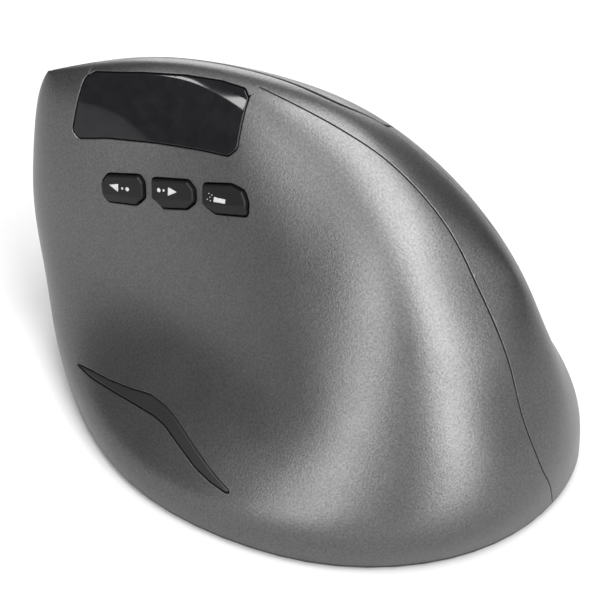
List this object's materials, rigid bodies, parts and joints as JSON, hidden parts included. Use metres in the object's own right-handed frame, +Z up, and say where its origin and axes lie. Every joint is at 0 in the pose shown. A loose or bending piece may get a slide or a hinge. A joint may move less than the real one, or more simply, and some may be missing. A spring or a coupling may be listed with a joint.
{
  "type": "vertical computer mouse",
  "caption": "Upright ergonomic wireless computer mouse with a tall ridge, thumb buttons, a gloss window, two click panels and a scroll wheel.",
  "frame": {"origin": "middle of the bounding box's footprint, on the surface that the feet stand on", "axes": "+Z up, +Y towards the nose where the fingers point, -X the thumb's wall, +X the fingers' flank"},
  "size_m": [0.0786, 0.1162, 0.0729],
  "materials": {
    "shell_paint": "satin metallic paint",
    "base": "fine texture",
    "window": "polished",
    "cap": "satin",
    "grip": "satin",
    "bezel": "satin",
    "tyre": "ribbed",
    "hub": "satin",
    "steel": "brushed",
    "inner_plastic": "moulded",
    "switch_body": "moulded",
    "switch_plunger": "moulded",
    "board": "solder mask",
    "chip": "moulded",
    "lens": "clear",
    "display": "polished",
    "flex": "film",
    "cell": "foil",
    "lead": "insulation",
    "glide": "smooth",
    "white_plastic": "moulded"
  },
  "bodies": {
    "body": {"base_plate": "base", "thumb_shell": "shell_paint", "palm_shell": "shell_paint", "finger_shell": "shell_paint", "wheel_bezel": "bezel", "display_window": "window", "display_module": "display", "thumb_strip": "grip", "side_board": "board", "side_switches": "switch_body", "inner_frame": "inner_plastic", "click_board": "board", "left_click_switch": "switch_body", "right_click_switch": "switch_body", "left_hinge_pin": "steel", "right_hinge_pin": "steel", "cradle_pin": "steel", "cradle_bracket": "inner_plastic", "middle_click_switch": "switch_body", "dpi_switch": "switch_body", "main_board": "board", "sensor_chip": "chip", "sensor_lens": "lens", "flex_cable": "flex", "battery": "cell", "battery_lead": "lead", "usb_port": "steel", "power_switch": "steel", "pair_switch": "steel", "front_foot": "glide", "rear_foot": "glide", "sensor_ring": "glide", "base_screws": "steel", "board_screws": "steel"},
    "left_button": {"left_button": "shell_paint", "left_plunger": "switch_plunger"},
    "right_button": {"right_button": "shell_paint", "right_plunger": "switch_plunger"},
    "back_button": {"back_button": "cap"},
    "forward_button": {"forward_button": "cap"},
    "mode_button": {"mode_button": "cap"},
    "cradle": {"wheel_cradle": "inner_plastic", "encoder_body": "board"},
    "wheel": {"wheel_hub": "hub", "wheel_tyre": "tyre", "wheel_axle": "steel", "encoder_rotor": "hub"},
    "dpi_button": {"dpi_button": "cap"},
    "power_slider": {"power_slider": "white_plastic"},
    "pair_button": {"pair_button": "white_plastic"},
    "receiver": {"receiver_plug": "steel", "receiver_cap": "cap"}
  },
  "joints": [
    {"name": "left_click", "type": "hinge", "parent": "body", "child": "left_button", "pos_m": [0.01095, -0.01843, 0.05656], "axis": [-0.4695, 0, 0.8829], "range_deg": [0, 0.8], "stiffness_Nm_per_rad": 2.4},
    {"name": "right_click", "type": "hinge", "parent": "body", "child": "right_button", "pos_m": [0.01847, -0.01843, 0.04243], "axis": [-0.4695, 0, 0.8829], "range_deg": [0, 0.8], "stiffness_Nm_per_rad": 2.4},
    {"name": "wheel_press", "type": "hinge", "parent": "body", "child": "cradle", "pos_m": [0.00885, 0.01257, 0.04581], "axis": [-0.4695, 0, 0.8829], "range_deg": [0, 1.3], "stiffness_Nm_per_rad": 0.9},
    {"name": "wheel_spin", "type": "hinge", "parent": "cradle", "child": "wheel", "pos_m": [0.00956, 0.02757, 0.04619], "axis": [0.4695, 0, -0.8829], "continuous": true},
    {"name": "dpi_press", "type": "slide", "parent": "body", "child": "dpi_button", "axis": [-0.8829, 0, -0.4695], "range_m": [0, 0.0005], "stiffness_N_per_m": 1200},
    {"name": "back_press", "type": "slide", "parent": "body", "child": "back_button", "axis": [0.9511, 0, -0.309], "range_m": [0, 0.0005], "stiffness_N_per_m": 1200},
    {"name": "forward_press", "type": "slide", "parent": "body", "child": "forward_button", "axis": [0.9511, 0, -0.309], "range_m": [0, 0.0005], "stiffness_N_per_m": 1200},
    {"name": "mode_press", "type": "slide", "parent": "body", "child": "mode_button", "axis": [0.9511, 0, -0.309], "range_m": [0, 0.0005], "stiffness_N_per_m": 1200},
    {"name": "power_slide", "type": "slide", "parent": "body", "child": "power_slider", "axis": [0, 1, 0], "range_m": [0, 0.003]},
    {"name": "pair_press", "type": "slide", "parent": "body", "child": "pair_button", "axis": [0, 0, 1], "range_m": [0, 0.0004], "stiffness_N_per_m": 1500},
    {"name": "receiver_pull", "type": "slide", "parent": "body", "child": "receiver", "axis": [0, 1, 0], "range_m": [0, 0.0105]}
  ]
}
